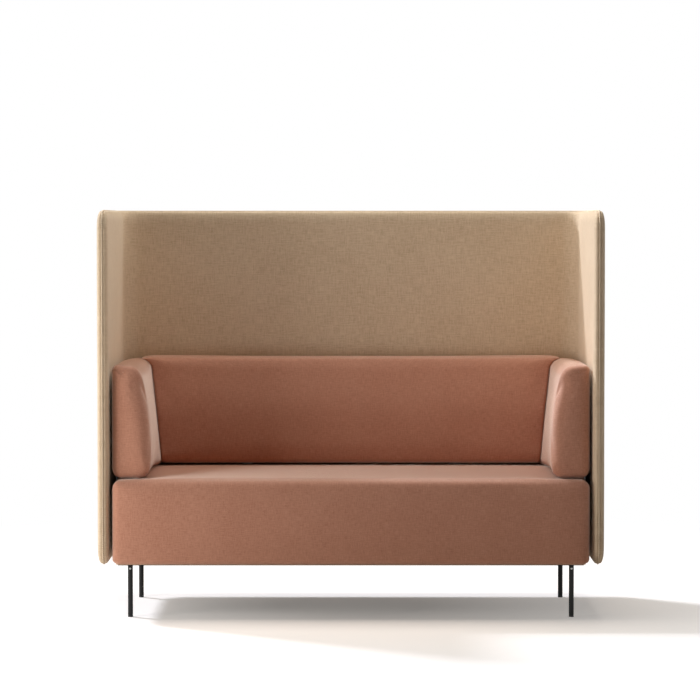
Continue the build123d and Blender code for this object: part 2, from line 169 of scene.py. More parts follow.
webbing_finish, tree, shader = new_finish("elastic_webbing", 0.85)
ribs = node(tree, "ShaderNodeTexWave", {"Scale": 150.0, "Distortion": 0.4}, bands_direction="Y")
tree.links.new(laid_out(tree, "Object"), ribs.inputs["Vector"])
rib_marks = mottle(tree, laid_out(tree, "Object", (1.0, 0.2, 1.0)), 0.004)
rib_depth = sums(tree, "MULTIPLY", ribs.outputs["Fac"], rib_marks)
rib_shades = [(0.0, tone(20, 19, 19)), (0.6, tone(62, 58, 54))]
shades(tree, rib_depth, rib_shades, shader)
raise_grain(tree, shader, rib_depth, 0.0006)
dress(webbing_finish, "seat_webbing")


# Legs: thin round steel bars bored for a plate's stub at the top and a glide at the foot.
# Bar and plate are powder coated black. Four countersunk screws hold each plate to its leg block.

def powder_coat(name, dark, worn, roughness):
    """Sprayed and baked paint with a fine orange peel."""
    finish, tree, shader = new_finish(name, roughness)
    place = laid_out(tree, "Object")
    peel = mottle(tree, place, 0.0016, 2.0)
    handling = mottle(tree, place, 0.03, 4.0)
    shades(tree, handling, [(0.35, dark), (0.8, worn)], shader)
    tree.links.new(spread(tree, handling, roughness - 0.08, roughness + 0.1), shader.inputs["Roughness"])
    shader.inputs["Specular IOR Level"].default_value = 0.3
    raise_grain(tree, shader, peel, 0.00012)
    return finish


def bright_zinc(name, stretch=(1, 1, 1)):
    """Zinc plated steel, a little cloudy and drawn."""
    finish, tree, shader = new_finish(name, 0.35, 1.0)
    cloud = mottle(tree, laid_out(tree, "Object", stretch), 0.006, 4.0)
    zinc_shades = [(0.3, tone(176, 178, 180)), (0.7, tone(222, 222, 220))]
    shades(tree, cloud, zinc_shades, shader)
    tree.links.new(spread(tree, cloud, 0.26, 0.46), shader.inputs["Roughness"])
    raise_grain(tree, shader, cloud, 0.00008)
    return finish


corners = [deep + "_" + side for deep in ("front", "rear") for side in ("left", "right")]
leg_paint = powder_coat("black_leg_paint", tone(13, 13, 14), tone(24, 23, 23), 0.5)
plate_paint = powder_coat("black_plate_paint", tone(20, 20, 21), tone(36, 35, 35), 0.5)
screw_zinc = bright_zinc("bright_screw_zinc")
dress(leg_paint, *["leg_" + corner for corner in corners])
dress(plate_paint, *["leg_plate_" + corner for corner in corners])
dress(screw_zinc, "leg_plate_screws")


# Leg lock screws: one small zinc plated button head just under the seat on each leg.
# It looks forwards on the front legs and backwards on the rear ones, pins the bar to its plate's stub,
# and has a hexagon socket for a key.

screw_radius = 0.0035
screw_height = 0.0022
socket_radius = 0.00135
socket_depth = 0.0013


def in_scene(piece):
    """Puts a new object in the scene."""
    scene.collection.objects.link(piece)
    return piece


def smooth(mesh):
    """Shades all the faces of a mesh smooth."""
    mesh.polygons.foreach_set("use_smooth", [True] * len(mesh.polygons))


def button_head():
    """One screw head on its own, standing on z = 0 with its socket at the top."""
    steps = 24
    sixth = math.tau / 6
    profile = [
        (screw_radius * 0.96, 0.0),
        (screw_radius, 0.0003),
        (screw_radius * 0.97, 0.0009),
        (screw_radius * 0.84, 0.0016),
        (screw_radius * 0.62, screw_height - 0.0001),
        (screw_radius * 0.48, screw_height),
    ]
    turns = [math.tau * step / steps for step in range(steps)]
    hexagon = [socket_radius / math.cos((turn + sixth / 2) % sixth - sixth / 2) for turn in turns]
    outlines = [([radius] * steps, height) for radius, height in profile]
    outlines += [(hexagon, screw_height - 0.00005), (hexagon, screw_height - socket_depth)]
    made = bmesh.new()
    rings = []
    for outline, height in outlines:
        points = [(out * math.cos(turn), out * math.sin(turn), height) for out, turn in zip(outline, turns)]
        rings.append([made.verts.new(point) for point in points])
    for lower, upper in zip(rings, rings[1:]):
        for step in range(steps):
            after = (step + 1) % steps
            made.faces.new((lower[step], lower[after], upper[after], upper[step]))
    made.faces.new(rings[-1])
    made.faces.new(rings[0][::-1])
    mesh = bpy.data.meshes.new("button_head")
    made.to_mesh(mesh)
    made.free()
    smooth(mesh)
    mesh.set_sharp_from_angle(angle=math.radians(40))
    return mesh


def new_tree(name, *sizes):
    """A Geometry Nodes tree with named inputs for its sizes, and its first and last node."""
    tree = bpy.data.node_groups.new(name, "GeometryNodeTree")
    tree.interface.new_socket("Geometry", in_out="INPUT", socket_type="NodeSocketGeometry")
    for size, kind in sizes:
        tree.interface.new_socket(size, in_out="INPUT", socket_type=kind)
    tree.interface.new_socket("Geometry", in_out="OUTPUT", socket_type="NodeSocketGeometry")
    return tree, node(tree, "NodeGroupInput"), node(tree, "NodeGroupOutput")


def join(tree, *links):
    """Joins an output of one node to an input of another, for each link."""
    for start, made, end, used in links:
        tree.links.new(start.outputs[made], end.inputs[used])


def end_tree(tree, made, last, finish):
    """Makes a tree's copies real and sets their finish."""
    real = node(tree, "GeometryNodeRealizeInstances")
    coat = node(tree, "GeometryNodeSetMaterial", {"Material": finish})
    tree.links.new(made, real.inputs["Geometry"])
    join(tree, (real, "Geometry", coat, "Geometry"), (coat, "Geometry", last, "Geometry"))


def grown(name, start, tree, sizes):
    """What a tree makes from a start mesh, as a piece with a plain mesh."""
    seed = in_scene(bpy.data.objects.new(name + "_start", start))
    step = seed.modifiers.new("make", "NODES")
    step.node_group = tree
    for socket in tree.interface.items_tree:
        if socket.in_out == "INPUT" and socket.name in sizes:
            step[socket.identifier] = sizes[socket.name]
    drawn = seed.evaluated_get(bpy.context.evaluated_depsgraph_get())
    mesh = bpy.data.meshes.new_from_object(drawn)
    bpy.data.objects.remove(seed)
    return in_scene(bpy.data.objects.new(name, mesh))


tree, first, last = new_tree("lock_screws", ("Screw", "NodeSocketObject"))
screw = node(tree, "GeometryNodeObjectInfo")
facing = node(tree, "GeometryNodeInputNamedAttribute", {"Name": "facing"}, data_type="FLOAT_VECTOR")
setting = node(tree, "GeometryNodeInstanceOnPoints")
turned = node(tree, "FunctionNodeAlignRotationToVector", axis="Z")
join(
    tree,
    (first, "Screw", screw, "Object"),
    (first, "Geometry", setting, "Points"),
    (screw, "Geometry", setting, "Instance"),
    (facing, "Attribute", turned, "Vector"),
    (turned, "Rotation", setting, "Rotation"),
)
end_tree(tree, setting.outputs["Instances"], last, screw_zinc)

spots = bpy.data.meshes.new("lock_screw_spots")
screw_low, screw_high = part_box("leg_lock_screws")
screw_z = (screw_low.z + screw_high.z) / 2
spot_places = []
spot_facings = []
for corner in corners:
    leg_low, leg_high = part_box("leg_" + corner)
    front = corner.startswith("front")
    spot_y = leg_low.y if front else leg_high.y
    spot_places.append(((leg_low.x + leg_high.x) / 2, spot_y, screw_z))
    spot_facings.extend((0.0, -1.0 if front else 1.0, 0.0))
spots.from_pydata(spot_places, [], [])
spots.attributes.new("facing", "FLOAT_VECTOR", "POINT").data.foreach_set("vector", spot_facings)
one_screw = in_scene(bpy.data.objects.new("one_screw", button_head()))
lock_screws = grown("lock_screw_heads", spots, tree, {"Screw": one_screw})
bpy.data.objects.remove(one_screw)
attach(lock_screws, "sofa")
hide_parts("leg_lock_screws")


# Glides: moulded nylon feet on a stud that screws up into each leg, so the sofa can be levelled.
# The nylon is black, with a faint moulded texture and pale scuffs.

glide_finish, tree, shader = new_finish("black_nylon", 0.5)
scuffs = mottle(tree, laid_out(tree, "Object", (1.0, 1.0, 3.0)), 0.004, 4.0)
scuff_shades = [(0.4, tone(22, 22, 23)), (0.85, tone(58, 56, 54))]
shades(tree, scuffs, scuff_shades, shader)
tree.links.new(spread(tree, scuffs, 0.42, 0.65), shader.inputs["Roughness"])
raise_grain(tree, shader, scuffs, 0.0001)
dress(glide_finish, *["glide_" + corner for corner in corners])


# Dust cover: a sheet of black non-woven lining under the seat, slit round the legs.
# It is pulled flat and stapled to the underside of the rails.

dust_low, dust_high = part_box("seat_dust_cover")
dust_cut = 0.028
dust_slit = 0.0095
dust_sag = 0.0016
dust_ripple = 0.3
dust_level = dust_low.z + 0.0002
sheet_step = 0.025


def ruled_lines(low, high, places, step):
    """Grid lines from low to high that pass on both sides of each place."""
    fixed = sorted([low, high] + [place + side * dust_slit for place in places for side in (-1, 1)])
    lines = [fixed[0]]
    for start, end in zip(fixed, fixed[1:]):
        number = max(1, round((end - start) / step))
        lines.extend(start + (end - start) * (index + 1) / number for index in range(number))
    return lines


leg_xs = sorted({round(place[0], 5) for place in spot_places})
leg_ys = []
for corner in ("front_left", "rear_left"):
    leg_low, leg_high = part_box("leg_" + corner)
    leg_ys.append((leg_low.y + leg_high.y) / 2)
sheet_xs = ruled_lines(dust_low.x, dust_high.x, leg_xs, sheet_step)
sheet_ys = ruled_lines(dust_low.y, dust_high.y, leg_ys, sheet_step)
sheet_points = []
for y in sheet_ys:
    for x in sheet_xs:
        along_x = (x - dust_low.x) / (dust_high.x - dust_low.x)
        along_y = (y - dust_low.y) / (dust_high.y - dust_low.y)
        slack = math.sin(math.pi * along_x) * math.sin(math.pi * along_y)
        ripple = dust_ripple * math.sin(31 * x + 4 * y) * math.sin(math.pi * along_y)
        level = dust_level - dust_sag * slack * (1 - dust_ripple + ripple)
        past_corner = abs(x) + y - (dust_high.x + dust_high.y - dust_cut)
        pull = max(0.0, past_corner) / 2
        sheet_points.append((x - math.copysign(pull, x), y - pull, level))
sheet_faces = []
for row in range(len(sheet_ys) - 1):
    for column in range(len(sheet_xs) - 1):
        middle_x = (sheet_xs[column] + sheet_xs[column + 1]) / 2
        middle_y = (sheet_ys[row] + sheet_ys[row + 1]) / 2
        beside_leg = any(abs(middle_x - x) < dust_slit for x in leg_xs)
        slit = beside_leg and any(abs(middle_y - y) < dust_slit for y in leg_ys)
        if not slit:
            start = row * len(sheet_xs) + column
            above = start + len(sheet_xs)
            sheet_faces.append((start, above, above + 1, start + 1))
sheet_mesh = bpy.data.meshes.new("dust_cover")
sheet_mesh.from_pydata(sheet_points, [], sheet_faces)
smooth(sheet_mesh)
lining_finish, tree, shader = new_finish("black_lining", 0.9)
fibres = mottle(tree, laid_out(tree, "Object", (1.0, 2.2, 1.0)), 0.005, 5.0, 0.7)
dots = node(tree, "ShaderNodeTexVoronoi", {"Scale": 420.0})
tree.links.new(laid_out(tree, "Object"), dots.inputs["Vector"])
lining_shades = [(0.3, tone(26, 25, 25)), (0.75, tone(58, 55, 53))]
shades(tree, fibres, lining_shades, shader)
raise_grain(tree, shader, sums(tree, "MULTIPLY", dots.outputs["Distance"], fibres), 0.0006)
sheet_mesh.materials.append(lining_finish)
dust_cover = in_scene(bpy.data.objects.new("dust_cover", sheet_mesh))
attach(dust_cover, "sofa")
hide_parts("seat_dust_cover")


# Staples: zinc plated wire staples in a row round the edge of the dust cover.
# They are shot through the lining into the rails.

staple_spacing = 0.055
staple_length = 0.010
staple_wire = 0.0005
staple_inset = 0.009


def closed_edges(number):
    """Edges that join that many points in a ring."""
    return [(i, (i + 1) % number) for i in range(number)]


tree, first, last = new_tree(
    "staples",
    ("Spacing", "NodeSocketFloat"),
    ("Length", "NodeSocketFloat"),
    ("Wire radius", "NodeSocketFloat"),
)
path = node(tree, "GeometryNodeMeshToCurve")
evenly = node(tree, "GeometryNodeResampleCurve", mode="LENGTH")
tangent = node(tree, "GeometryNodeInputTangent")
turned = node(tree, "FunctionNodeAlignRotationToVector", axis="X")
wire = node(tree, "GeometryNodeCurvePrimitiveLine", {"Direction": (1, 0, 0)}, mode="DIRECTION")
wire_round = node(tree, "GeometryNodeCurvePrimitiveCircle", {"Resolution": 6})
crown = node(tree, "GeometryNodeCurveToMesh", {"Fill Caps": True})
setting = node(tree, "GeometryNodeInstanceOnPoints")
join(
    tree,
    (first, "Geometry", path, "Mesh"),
    (path, "Curve", evenly, "Curve"),
    (first, "Spacing", evenly, "Length"),
    (first, "Length", wire, "Length"),
    (first, "Wire radius", wire_round, "Radius"),
    (wire, "Curve", crown, "Curve"),
    (wire_round, "Curve", crown, "Profile Curve"),
    (evenly, "Curve", setting, "Points"),
    (crown, "Mesh", setting, "Instance"),
    (tangent, "Tangent", turned, "Vector"),
    (turned, "Rotation", setting, "Rotation"),
)
end_tree(tree, setting.outputs["Instances"], last, bright_zinc("staple_wire"))

staple_x = dust_high.x - staple_inset
staple_front = dust_low.y + staple_inset
staple_rear = dust_high.y - staple_inset
staple_z = dust_level - staple_wire * 0.6
staple_line = [
    (-staple_x, staple_front, staple_z),
    (staple_x, staple_front, staple_z),
    (staple_x, staple_rear - dust_cut, staple_z),
    (staple_x - dust_cut, staple_rear, staple_z),
    (dust_cut - staple_x, staple_rear, staple_z),
    (-staple_x, staple_rear - dust_cut, staple_z),
]
staple_path = bpy.data.meshes.new("staple_path")
staple_path.from_pydata(staple_line, closed_edges(len(staple_line)), [])
staple_sizes = {"Spacing": staple_spacing, "Length": staple_length, "Wire radius": staple_wire}
staples = grown("dust_cover_staples", staple_path, tree, staple_sizes)
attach(staples, "sofa")


# Seat cushion: one deep foam block round the frame, in a close cover of felted salmon wool.
# The cover is pulled under the rails and stapled, and the wadding under it swells it a little.

seat_low, seat_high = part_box("seat_cover")
seat_half = seat_high.x - 0.0005
seat_front = seat_low.y + 0.003
seat_rear = seat_high.y - 0.0005
seat_bottom = seat_low.z + 0.0005
seat_crown = 0.010
seat_edge_top = seat_high.z - seat_crown
seat_end_radius = 0.030
rear_corner_radius = 0.052
seat_rounds = (0.020, 0.010, 0.018, 0.026)
seat_front_bow = 0.003
seat_swell = 0.004
hem_height = 0.020
top_band = 0.010
front_free = 0.04
under_back = 0.15
under_arm = 0.625
near_end = 0.735
least_radius = 0.004
cloth_step = 0.011
cloth_pressure = 4.0
arc_steps = 8


def rounded_outline(corners, radii, counts, bows):
    """A closed outline with rounded corners and bowed sides, from the middle of its first corner."""
    corners = [np.array(corner, float) for corner in corners]
    number = len(corners)
    runs = [corners[(i + 1) % number] - corners[i] for i in range(number)]
    lengths = [float(np.linalg.norm(run)) for run in runs]
    runs = [run / length for run, length in zip(runs, lengths)]
    turns = [math.acos(float(np.clip(runs[i - 1] @ runs[i], -1, 1))) for i in range(number)]
    reach = [radii[i] * math.tan(turns[i] / 2) for i in range(number)]
    for i in range(number):
        j = (i + 1) % number
        excess = (reach[i] + reach[j]) / (0.97 * lengths[i])
        if excess > 1:
            reach[i] /= excess
            reach[j] /= excess
    arcs = []
    for i in range(number):
        start = corners[i] - runs[i - 1] * reach[i]
        radius = reach[i] / math.tan(turns[i] / 2)
        left = np.array((-runs[i - 1][1], runs[i - 1][0]))
        angles = np.linspace(0, turns[i], arc_steps + 1)[:, None]
        arcs.append(start + left * radius * (1 - np.cos(angles)) + runs[i - 1] * radius * np.sin(angles))
    outline = [arcs[0][arc_steps // 2:]]
    for i in range(number):
        j = (i + 1) % number
        share = (np.arange(1, counts[i]) / counts[i])[:, None]
        out = np.array((runs[i][1], -runs[i][0]))
        straight = arcs[i][-1] * (1 - share) + arcs[j][0] * share
        outline.append(straight + out * bows[i] * (1 - np.cos(2 * math.pi * share)) / 2)
        outline.append(arcs[j] if j else arcs[0][:arc_steps // 2])
    return np.concatenate(outline)


def blended_grid(ring, across, up):
    """A grid of points, up + 1 by across + 1, that fills a ring and is blended from its four sides."""
    number = len(ring)
    bottom = ring[:across + 1]
    right = ring[across:across + up + 1]
    top = ring[[2 * across + up - i for i in range(across + 1)]]
    left = ring[[(number - j) % number for j in range(up + 1)]]

    def share(one, other):
        total = np.zeros(len(one))
        for side in (one, other):
            run = np.concatenate(([0.0], np.cumsum(np.linalg.norm(np.diff(side, axis=0), axis=1))))
            total = total + run / run[-1] / 2
        return total

    u = share(bottom, top)[None, :, None]
    v = share(left, right)[:, None, None]
    flat = (1 - v) * bottom[None] + v * top[None] + (1 - u) * left[:, None] + u * right[:, None]
    corner = (1 - v) * ((1 - u) * ring[0] + u * bottom[-1]) + v * ((1 - u) * top[0] + u * top[-1])
    return flat - corner


def grid_numbers(ring_numbers, across, up, start):
    """Point numbers of such a grid: the ring's own on its border, new ones from start inside."""
    number = len(ring_numbers)
    grid = np.zeros((up + 1, across + 1), int)
    grid[1:-1, 1:-1] = start + np.arange((up - 1) * (across - 1)).reshape(up - 1, across - 1)
    grid[0] = ring_numbers[:across + 1]
    grid[:, -1] = ring_numbers[across:across + up + 1]
    grid[-1] = ring_numbers[[2 * across + up - i for i in range(across + 1)]]
    grid[:, 0] = ring_numbers[[(number - j) % number for j in range(up + 1)]]
    return grid


def quads_of(grid):
    """The four sided faces of a grid of point numbers."""
    faces = np.stack((grid[:-1, :-1], grid[:-1, 1:], grid[1:, 1:], grid[1:, :-1]), axis=-1)
    return faces.reshape(-1, 4)


def lay_of(flat, rows):
    """Where each face of a grid lies on the cloth, from where its points lie."""
    return flat[quads_of(np.arange(len(flat)).reshape(rows, -1))]


def cloth_piece(name, points, faces, lay, finish):
    """A closed piece with its cloth laid out in metres on its own map, faces pointing outwards."""
    mesh = bpy.data.meshes.new(name)
    mesh.from_pydata(points.tolist(), [], faces.tolist())
    mesh.uv_layers.new(name="cloth").data.foreach_set("uv", lay.astype(np.float32).ravel())
    shell = bmesh.new()
    shell.from_mesh(mesh)
    bmesh.ops.recalc_face_normals(shell, faces=shell.faces)
    shell.to_mesh(mesh)
    shell.free()
    smooth(mesh)
    mesh.materials.append(finish)
    return in_scene(bpy.data.objects.new(name, mesh))


def looped(row):
    """A row with its first item again at the end."""
    return np.concatenate((row, row[:1]))


def cut_and_sewn(name, sections, across, up, flat_axes, finish):
    """A cushion cover from a row of outlines, closed by a blended panel at each end."""
    number = sections.shape[1]
    points = [sections.reshape(-1, 3)]
    rows = np.arange(len(sections) * number).reshape(len(sections), number)
    faces = [quads_of(np.concatenate((rows, rows[:, :1]), axis=1))]
    steps = np.linalg.norm(np.roll(sections, -1, axis=1) - sections, axis=2).mean(axis=0)
    around = np.concatenate(([0.0], np.cumsum(steps)))
    steps = np.linalg.norm(np.diff(sections, axis=0), axis=2).mean(axis=1)
    along = np.concatenate(([0.0], np.cumsum(steps)))
    lay = np.stack(np.broadcast_arrays(along[:, None], around[None, :]), axis=-1)
    lays = [lay_of(lay.reshape(-1, 2), len(sections))]
    count = rows.size
    for end in (0, -1):
        panel = blended_grid(sections[end], across, up)
        numbers = grid_numbers(rows[end], across, up, count)
        points.append(panel[1:-1, 1:-1].reshape(-1, 3))
        faces.append(quads_of(numbers))
        lays.append(lay_of(panel[..., flat_axes].reshape(-1, 2), up + 1))
        count += (across - 1) * (up - 1)
    return cloth_piece(name, np.concatenate(points), np.concatenate(faces), np.concatenate(lays), finish)


def rounding(distance, radius):
    """How far an edge of that radius has drawn in, at a distance from the end."""
    if distance >= radius:
        return 0.0
    return radius - math.sqrt(radius ** 2 - (radius - distance) ** 2)


def end_distances(radii, length, step):
    """Distances from an end to the middle of a length, close together where the end is rounded."""
    close = [radii[0] * (1 - math.sin(math.radians(angle))) for angle in (90, 76, 62, 48, 34, 20, 8)]
    close += [radii[0] + (radii[1] - radii[0]) * share for share in (0.0, 0.2, 0.45, 0.72, 1.0)]
    number = max(1, round((length / 2 - close[-1]) / step))
    return close + [close[-1] + (length / 2 - close[-1]) * (i + 1) / number for i in range(number)]


def end_to_end(distances):
    """Each distance with its side, from the left end to the right one."""
    return [(d, -1) for d in distances] + [(d, 1) for d in distances[-2::-1]]


def points_of(piece):
    """The points of a piece's mesh as rows of three."""
    flat = np.empty(len(piece.data.vertices) * 3, np.float32)
    piece.data.vertices.foreach_get("co", flat)
    return flat.reshape(-1, 3).astype(float)


def swell(cushion, held, most):
    """Blows a cover out against its own cloth. Held points stay, and none moves further than most."""
    moments = 20
    still = points_of(cushion)
    group = cushion.vertex_groups.new(name="held")
    group.add(np.nonzero(held)[0].tolist(), 1.0, "REPLACE")
    cloth = cushion.modifiers.new("swell", "CLOTH")
    cloth.settings.quality = 4
    cloth.settings.mass = 0.3
    cloth.settings.tension_stiffness = 20
    cloth.settings.compression_stiffness = 20
    cloth.settings.shear_stiffness = 10
    cloth.settings.bending_stiffness = 2
    cloth.settings.use_pressure = True
    cloth.settings.uniform_pressure_force = cloth_pressure
    cloth.settings.effector_weights.gravity = 0
    cloth.settings.vertex_group_mass = "held"
    cloth.collision_settings.use_collision = False
    cloth.point_cache.frame_start = 1
    cloth.point_cache.frame_end = moments
    for moment in range(1, moments + 1):
        scene.frame_set(moment)
    drawn = cushion.evaluated_get(bpy.context.evaluated_depsgraph_get())
    blown = points_of(drawn)
    cushion.modifiers.remove(cloth)
    cushion.vertex_groups.remove(group)
    move = blown - still
    length = np.linalg.norm(move, axis=1)
    eased = most * np.tanh(length / most) / np.maximum(length, 1e-9)
    cushion.data.vertices.foreach_set("co", (still + move * eased[:, None]).astype(np.float32).ravel())
    cushion.data.update()
    scene.frame_set(1)


def woven(name, pitch, stops, slub, cloud, relief, sheen, sheen_tint):
    """Cloth with its threads on the piece's own map: crossing threads, uneven yarn and a soft nap."""
    finish, tree, shader = new_finish(name, 0.9)
    shader.inputs["Specular IOR Level"].default_value = 0.08
    shader.inputs["Sheen Weight"].default_value = sheen
    shader.inputs["Sheen Roughness"].default_value = 0.45
    shader.inputs["Sheen Tint"].default_value = sheen_tint
    lay = laid_out(tree, "UV")
    parts = node(tree, "ShaderNodeSeparateXYZ")
    tree.links.new(lay, parts.inputs["Vector"])
    warp = sums(tree, "SINE", sums(tree, "MULTIPLY", parts.outputs["X"], math.pi / pitch), 0.0)
    weft = sums(tree, "SINE", sums(tree, "MULTIPLY", parts.outputs["Y"], math.pi / pitch), 0.0)
    crossing = spread(tree, sums(tree, "MULTIPLY", warp, weft), 0.25, 0.75)
    slub_width = pitch * 2.2
    long_weft = mottle(tree, laid_out(tree, "UV", (1 / slub, 1.0, 1.0)), slub_width, 3.0, 0.6)
    long_warp = mottle(tree, laid_out(tree, "UV", (1.0, 1 / slub, 1.0)), slub_width, 3.0, 0.6)
    yarn = sums(tree, "MULTIPLY", sums(tree, "ADD", long_weft, long_warp), 0.5)
    flecks = mottle(tree, lay, pitch * 2.4, 4.0, 0.7)
    drift = mottle(tree, lay, cloud, 3.0)
    colour = mixed(tree, (yarn, 0.6), (flecks, 0.2), (drift, 0.1), (crossing, 0.1))
    shades(tree, colour, stops, shader)
    tree.links.new(spread(tree, flecks, 0.82, 0.98), shader.inputs["Roughness"])
    raise_grain(tree, shader, mixed(tree, (crossing, 0.6), (yarn, 0.8)), relief, 0.8)
    return finish


wool = woven(
    "salmon_wool",
    pitch=0.0014,
    stops=[(0.36, tone(172, 117, 93)), (0.5, tone(191, 136, 111)), (0.64, tone(205, 153, 128))],
    slub=7.0,
    cloud=0.12,
    relief=0.0006,
    sheen=1.0,
    sheen_tint=tone(255, 240, 226),
)

across_seat = round((seat_rear - seat_front) / cloth_step)
up_seat = round((seat_edge_top - seat_bottom) / cloth_step)
seat_counts = (across_seat - arc_steps, up_seat - arc_steps) * 2
from_end = end_distances((seat_end_radius, rear_corner_radius), 2 * seat_half, cloth_step)
seat_sections = []
for distance, side in end_to_end(from_end):
    inset = rounding(distance, seat_end_radius)
    rear_inset = rounding(distance, rear_corner_radius)
    seat_corners = [
        (seat_front + inset, seat_bottom + 0.6 * inset),
        (seat_rear - rear_inset, seat_bottom + 0.6 * inset),
        (seat_rear - rear_inset, seat_edge_top - inset),
        (seat_front + inset, seat_edge_top - inset),
    ]
    seat_radii = [max(least_radius, radius - 0.8 * inset) for radius in seat_rounds]
    fullness = 1 - inset / seat_end_radius
    seat_bows = (0.0, 0.0, seat_crown * (0.4 + 0.6 * fullness), seat_front_bow * fullness)
    outline = rounded_outline(seat_corners, seat_radii, seat_counts, seat_bows)
    x = np.full((len(outline), 1), side * (seat_half - distance))
    seat_sections.append(np.concatenate((x, outline), axis=1))
seat = cut_and_sewn("seat_cushion", np.array(seat_sections), across_seat, up_seat, [1, 2], wool)
at = points_of(seat)
off_middle = np.abs(at[:, 0])
seat_held = (at[:, 2] < seat_bottom + hem_height) | (at[:, 1] > under_back) | (off_middle > near_end)
on_top = (at[:, 2] > seat_edge_top - top_band) & (at[:, 1] > seat_front + front_free)
seat_held |= on_top & (off_middle > under_arm)
swell(seat, seat_held, seat_swell)
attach(seat, "sofa")
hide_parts("seat_cover", "seat_foam")


# Screen core: birch plywood bent to a U, with threaded inserts let into it.
# Bolts from the seat frame go through spacer discs into the inserts and hold the screen off the seat.

core_finish = planed_wood("birch_plywood", (0.15, 0.15, 1.0), tone(222, 196, 158), tone(186, 152, 112))
dress(core_finish, "screen_core")
dress(screw_zinc, "screen_bolts", "screen_inserts")
spacer_finish, tree, shader = new_finish("moulded_spacer", 0.55)
moulded = mottle(tree, laid_out(tree, "Object"), 0.003, 3.0)
spacer_shades = [(0.3, tone(24, 24, 25)), (0.8, tone(44, 43, 42))]
shades(tree, moulded, spacer_shades, shader)
raise_grain(tree, shader, moulded, 0.0001)
dress(spacer_finish, "screen_spacers")


# Screen cover: an inner and an outer panel of beige linen weave, sewn together round the whole rim.
# It is pulled over thin foam on the core, so each edge is drawn in to the seam like the edge of a pillow.

panel_low, panel_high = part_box("screen_outer_cover")
half_thickness = 0.018
wall_line = panel_high.x + 0.002 - half_thickness
back_line = panel_high.y - half_thickness
wall_front = panel_low.y + 0.0004
bend_radius = 0.078
wall_run = back_line - bend_radius - wall_front
bend_run = bend_radius * math.pi / 2
back_run = 2 * (wall_line - bend_radius)
panel_run = 2 * (wall_run + bend_run) + back_run
panel_bottom = panel_low.z + 0.0004
panel_top = panel_high.z - 0.0004
front_corner = 0.055
pillow_depth = 0.034
panel_step = 0.0102
padding_wave = 0.0005
padding_edge = 0.06
gather_height = 0.00022
gather_place = 0.011
gather_width = 0.009


def wall_plan(run):
    """Where a run along the wall's middle is in plan, from its left front edge, and which way is out."""
    ends = np.cumsum((wall_run, bend_run, back_run, bend_run))
    first_turn = np.clip((run - ends[0]) / bend_radius, 0, math.pi / 2)
    second_turn = np.clip((run - ends[2]) / bend_radius, 0, math.pi / 2)
    turn = first_turn + second_turn
    out = np.stack((-np.cos(turn), np.sin(turn)), axis=-1)
    on_left = np.minimum(run, ends[0])
    on_back = np.clip(run - ends[1], 0, back_run)
    on_right = np.maximum(run - ends[3], 0)
    x = -wall_line + bend_radius * (1 - np.cos(first_turn)) + on_back + bend_radius * np.sin(second_turn)
    y = wall_front + on_left + bend_radius * np.sin(first_turn)
    y = y - bend_radius * (1 - np.cos(second_turn)) - on_right
    return np.stack((x, y), axis=-1), out


def on_wall(lay, thickness):
    """Points of the flat panel, laid on the bent wall at a distance out from its middle."""
    plan, out = wall_plan(lay[:, 0])
    return np.concatenate((plan + out * thickness[:, None], lay[:, 1:]), axis=1)


def rim_ring(inset):
    """The panel's outline, drawn in by an inset."""
    left, right = inset, panel_run - inset
    low, high = panel_bottom + inset, panel_top - inset
    square = [(left, low), (right, low), (right, high), (left, high)]
    return rounded_outline(square, [front_corner - inset] * 4, panel_counts, (0, 0, 0, 0))


def loose_cloth(lay, side):
    """Slight unevenness of the padding, with small gathers next to the seam."""
    run, rise = lay[:, 0], lay[:, 1]
    from_ends = np.minimum(run, panel_run - run)
    from_rim = np.minimum(from_ends, np.minimum(rise - panel_bottom, panel_top - rise))
    wide = np.sin(9.1 * run + 1.7 * side) * np.sin(7.3 * rise + 0.6)
    wide += 0.6 * np.sin(17 * run - 11 * rise + side)
    gather = np.sin(173 * (run + rise)) * np.sin(37 * (run - rise) + 2.1 * side)
    gather += 0.5 * np.sin(271 * (run + rise) + side)
    near_seam = np.exp(-((from_rim - gather_place) / gather_width) ** 2)
    inside = np.clip(from_rim / padding_edge, 0, 1)
    return padding_wave * wide * inside + gather_height * gather * near_seam


across_panel = round(panel_run / panel_step)
up_panel = round((panel_top - panel_bottom) / panel_step)
panel_counts = (across_panel - arc_steps, up_panel - arc_steps) * 2
seam_sink = 0.0030
shoulder = 0.0060
seam_steps = [(0.0018, 0.0021), (0.0008, 0.0034), (0.0002, 0.0046), (0.0, shoulder)]
for inset in (0.0012, 0.0035, 0.0075, 0.013, 0.020, 0.027, pillow_depth):
    rise = math.sqrt(1 - (1 - inset / pillow_depth) ** 2)
    seam_steps.append((inset, shoulder + (half_thickness - shoulder) * rise))
rim = rim_ring(seam_sink)
ring_size = len(rim)
panel_points = [on_wall(rim, np.zeros(ring_size))]
panel_faces = []
panel_lay = []
count = ring_size
for side in (1, -1):
    inner = rim
    inner_numbers = np.arange(ring_size)
    for inset, full in seam_steps:
        ring = rim_ring(inset)
        part = inset / pillow_depth
        panel_points.append(on_wall(ring, side * (full + loose_cloth(ring, side) * part)))
        numbers = count + np.arange(ring_size)
        count += ring_size
        strip = np.stack((looped(inner_numbers), looped(numbers)))
        panel_faces.append(quads_of(strip))
        panel_lay.append(lay_of(np.concatenate((looped(inner), looped(ring))), 2))
        inner, inner_numbers = ring, numbers
    middle = blended_grid(inner, across_panel, up_panel)
    inside = middle[1:-1, 1:-1].reshape(-1, 2)
    panel_points.append(on_wall(inside, side * (half_thickness + loose_cloth(inside, side))))
    panel_faces.append(quads_of(grid_numbers(inner_numbers, across_panel, up_panel, count)))
    panel_lay.append(lay_of(middle.reshape(-1, 2), up_panel + 1))
    count += len(inside)

